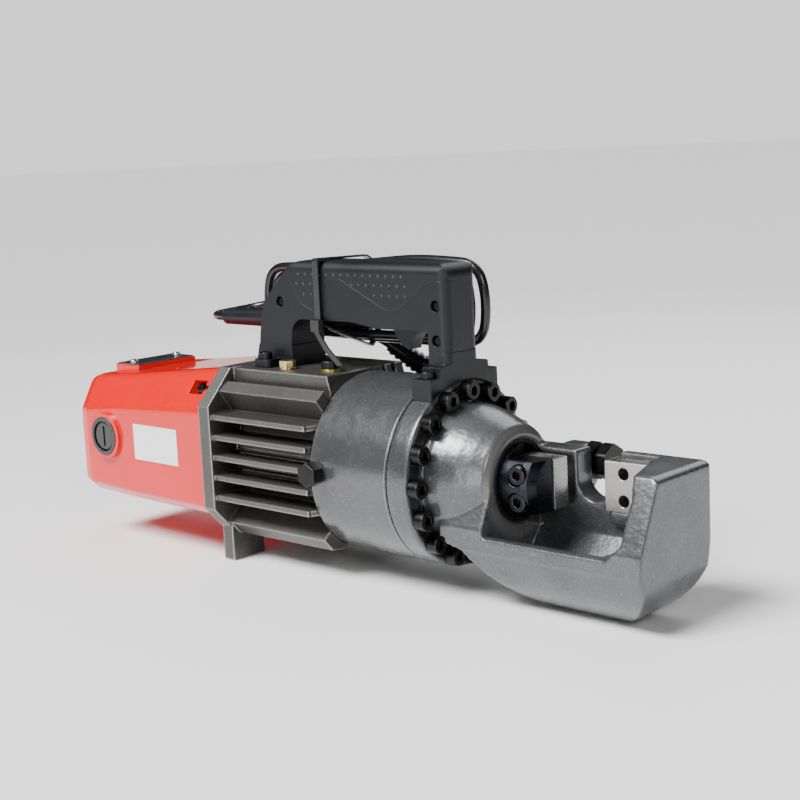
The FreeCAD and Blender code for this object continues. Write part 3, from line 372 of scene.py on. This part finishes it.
def steel(name, colour, roughness, stretch=(1, 1, 1), scale=120.0, wear=0.5, edge=0.0005):
    """Machined or ground steel; stretch sets the direction of the tool marks."""
    look = Recipe(name)
    marks = look.noise(scale, 5.0, stretch=stretch)
    cloud = look.noise(40.0, 4.0)
    dark = tuple(c * 0.72 for c in colour)
    tone = look.mix(look.ramp(marks, 0.3, 0.7), dark, colour)
    tone = look.mix(look.ramp(cloud, 0.55, 0.8, 0.0, 0.35), tone, tuple(c * 0.6 for c in colour))
    bright = tuple(min(1.0, c * 1.5 + 0.1) for c in colour)
    look.colour(look.mix(look.multiply(look.edges(edge), wear), tone, bright))
    look.rough(look.ramp(marks, 0.3, 0.7, roughness - 0.06, roughness + 0.08))
    look.bump(marks, 0.00005, 0.5, edge)
    look.settings(Metallic=1.0)
    return look.material


def label_film():
    """Blank white film with a faint sheen, its tone slightly clouded."""
    look = Recipe("label_film")
    cloud = look.noise(60.0, 4.0)
    look.colour(look.mix(look.ramp(cloud, 0.4, 0.8, 0.0, 0.4), (0.86, 0.86, 0.87), (0.74, 0.75, 0.77)))
    look.rough(look.ramp(cloud, 0.3, 0.7, 0.3, 0.42))
    look.bump(look.noise(500.0, 2.0), 0.00003, 0.3)
    return look.material


def windings():
    """Lacquered copper wire lying side by side."""
    look = Recipe("windings")
    wave = look.add("ShaderNodeTexWave", bands_direction="Y")
    wave.inputs["Scale"].default_value = 300.0
    wave.inputs["Distortion"].default_value = 1.0
    look.link(look.place, wave.inputs["Vector"])
    look.colour(look.mix(wave.outputs["Fac"], (0.35, 0.12, 0.04), (0.75, 0.35, 0.14)))
    look.rough(look.ramp(look.noise(90.0), 0.3, 0.7, 0.25, 0.4))
    look.bump(wave.outputs["Fac"], 0.0002, 0.6)
    look.settings(Metallic=0.8)
    return look.material


def make_materials():
    black = moulded_black
    return {
        "cast_head": cast_paint(),
        "cylinder_steel": cylinder_paint(),
        "casing_alloy": casing_alloy(),
        "red_enamel": red_enamel(),
        "black_plastic": black("black_plastic", (0.0045, 0.0052, 0.0078), 0.4),
        "soft_rubber": black("soft_rubber", (0.0055, 0.0062, 0.009), 0.44, grain=2200.0, height=0.00005),
        "black_oxide": steel("black_oxide", (0.035, 0.035, 0.036), 0.34, wear=0.6),
        "blade_steel": steel("blade_steel", (0.47, 0.46, 0.44), 0.3, stretch=(1, 1, 14), wear=0.7),
        "blued_steel": steel("blued_steel", (0.03, 0.034, 0.042), 0.3, stretch=(1, 1, 8), wear=0.35),
        "bright_steel": steel("bright_steel", (0.72, 0.72, 0.73), 0.18),
        "plain_steel": steel("plain_steel", (0.5, 0.5, 0.5), 0.3),
        "brass": steel("brass", (0.78, 0.6, 0.28), 0.22, wear=0.4),
        "cord_black": black("cord_black", (0.009, 0.009, 0.01), 0.28, grain=900.0, height=0.00002,
                            edge=0.0003, shine=0.4),
        "brush_plastic": black("brush_plastic", (0.012, 0.012, 0.013), 0.22, grain=700.0, height=0.00003,
                               shine=0.5),
        "plate_metal": steel("plate_metal", (0.2, 0.21, 0.225), 0.36, stretch=(20, 1, 1)),
        "label_white": label_film(),
        "seal_rubber": black("seal_rubber", (0.01, 0.01, 0.011), 0.5),
        "copper": windings(),
        "lamination": steel("lamination", (0.33, 0.33, 0.35), 0.4, stretch=(40, 1, 1), scale=160.0),
        "carbon": black("carbon", (0.04, 0.04, 0.042), 0.5),
        "yellow_washer": steel("yellow_washer", (0.62, 0.52, 0.12), 0.35),
        "tie_nylon": black("tie_nylon", (0.014, 0.014, 0.015), 0.25, grain=600.0, height=0.00004,
                           shine=0.4),
    }


def dress_nodes(materials):
    """Every carried-over CAD node takes the material of its record slot."""
    for part in frame["record"]["subparts"]:
        mesh = nodes[part["node"]].data
        mesh.materials.clear()
        mesh.materials.append(materials[part["material_slot"]])


# ---- pieces ----
def object_from(name, build, material, body):
    mesh = bpy.data.meshes.new(name)
    build.to_mesh(mesh)
    build.free()
    piece = bpy.data.objects.new(name, mesh)
    add_to_scene(piece)
    piece.data.materials.append(material)
    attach(piece, body)


def smooth_copy(node, name, voxel, smoothing, material, body):
    """A cast body: the node's shape remeshed and smoothed so that its edges become round."""
    mesh = nodes[node].data.copy()
    piece = bpy.data.objects.new(name, mesh)
    add_to_scene(piece)
    remesh = piece.modifiers.new("remesh", "REMESH")
    remesh.mode = "VOXEL"
    remesh.voxel_size = voxel
    remesh.use_smooth_shade = True
    smooth = piece.modifiers.new("smooth", "SMOOTH")
    smooth.factor = 0.5
    smooth.iterations = smoothing
    mesh.materials.clear()
    mesh.materials.append(material)
    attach(piece, body)
    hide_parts(node)


def add_return_spring(material):
    """Copy of the coil spring, attached to the frame with a mesh of its own."""
    mesh = nodes["return_spring"].data.copy()
    spring = bpy.data.objects.new("ram_return_spring", mesh)
    add_to_scene(spring)
    mesh.materials.clear()
    mesh.materials.append(material)
    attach(spring, "frame")
    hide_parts("return_spring")
    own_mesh(spring)


def dot_places():
    """Places of the painted-shade dots on the soft grip, as (x, z): one long row above two pairs of short
    ones.
    """
    pitch = 7.1
    rows = [
        (133.4, -137.4, -34.0),
        (126.4, -139.6, -125.0),
        (126.9, -84.8, -34.5),
        (118.9, -132.6, -125.0),
        (120.0, -63.6, -34.0),
    ]
    for z, first, last in rows:
        count = int((last - first) / pitch) + 1
        for i in range(count):
            yield first + i * pitch, z


def add_grip_shade_discs(material):
    """Thin dark discs on both sides of the grip: painted shade standing in for the shade inside the grip's
    recessed dots.
    """
    dot_r, thickness = 0.00095, 0.0003
    turn = Matrix.Rotation(math.radians(90), 4, "X")
    build = bmesh.new()
    for side in (-1, 1):
        for x, z in dot_places():
            place = Matrix.Translation(row(x, side * (handle_half + 0.02), z))
            bmesh.ops.create_cone(build, cap_ends=True, segments=14, radius1=dot_r, radius2=dot_r,
                                  depth=thickness, matrix=place @ turn)
    object_from("grip_shade_discs", build, material, "frame")


# ---- cord ----
def lead_points():
    """From the boot's mouth, round behind the boot and up to the coil's rear end."""
    boot_root = Vector((-181, 2, 98))
    boot_length, straight_run = 60, 15
    ahead = Vector((-1, 0.05, -0.03)).normalized()
    mouth = boot_root + ahead * boot_length
    behind_boot = [(-268, 18, 95), (-270, 38, 95.5), (-258, 54, 98), (-238, 57, 102)]
    return [mouth, mouth + ahead * straight_run] + [Vector(p) for p in behind_boot]


def tail_points():
    """From the coil's lower run, under the grip, straight into the plug."""
    straight_run = 14
    plug_start = Vector((-118, 55.3, 74.3))
    plug_direction = Vector((0.59, 0.55, -0.59)).normalized()
    return [Vector((-152, 44.5, 89)), plug_start - plug_direction * straight_run, plug_start]


hank_outline = [(-213, 88), (-213, 130), (-130, 131), (-62, 136.5), (-10.5, 134), (-11, 88)]


def loop_point(share):
    """Point on the coil's middle line, going round from its rear end along the bottom, as (x, z)."""
    corners = [Vector((x, z)) for x, z in reversed(hank_outline)]
    start = Vector((-213, 109))
    chain = [start] + corners[-1:] + corners[:-1] + [start]
    lengths = [(b - a).length for a, b in zip(chain, chain[1:])]
    along = (share % 1.0) * sum(lengths)
    for a, b, length in zip(chain, chain[1:], lengths):
        if along <= length:
            return a.lerp(b, along / length)
        along -= length
    return start


def hank_points():
    """The coil's turns: strands that wind round the loop's middle line, closer together at the tie."""
    middle = Vector((-112, 110))
    flattening = 0.35
    points = []
    for i in range(int(cord_turns * points_per_turn) + 1):
        share = i / points_per_turn
        spot = loop_point(share)
        out = spot - middle
        out = Vector((out.x * flattening, out.y)).normalized()
        spread = spread_at_tie + spread_per_100 * abs(spot.x - tie_x) / 100
        angle = math.radians(45) + math.pi / 2 * share
        sideways, outwards = spread * math.cos(angle), spread * math.sin(angle)
        points.append(Vector((spot.x + out.x * outwards, hank_y + sideways, spot.y + out.y * outwards)))
    return points


def add_cord(material):
    points = lead_points() + hank_points() + tail_points()
    data = bpy.data.curves.new("power_cord", "CURVE")
    data.dimensions = "3D"
    spline = data.splines.new("NURBS")
    spline.points.add(len(points) - 1)
    for target, point in zip(spline.points, points):
        target.co = (*row(*point), 1)
    spline.order_u = 3
    spline.use_endpoint_u = True
    spline.resolution_u = 8
    data.bevel_depth = cord_r / 1000
    data.bevel_resolution = 5
    data.use_fill_caps = True
    data.materials.append(material)
    piece = bpy.data.objects.new("power_cord", data)
    add_to_scene(piece)
    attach(piece, "frame")
    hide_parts("cord_lead", "cord_hank", "cord_tail")


# ---- whole scene ----
def main():
    add_camera()
    add_stage()
    materials = make_materials()
    add_cord(materials["cord_black"])
    dress_nodes(materials)
    smooth_copy("head", "cast_head_body", 0.0011, 4, materials["cast_head"], "frame")
    add_return_spring(materials["plain_steel"])
    # painted shade: dark discs where the grip's recessed dots hold shade
    add_grip_shade_discs(materials["carbon"])


main()
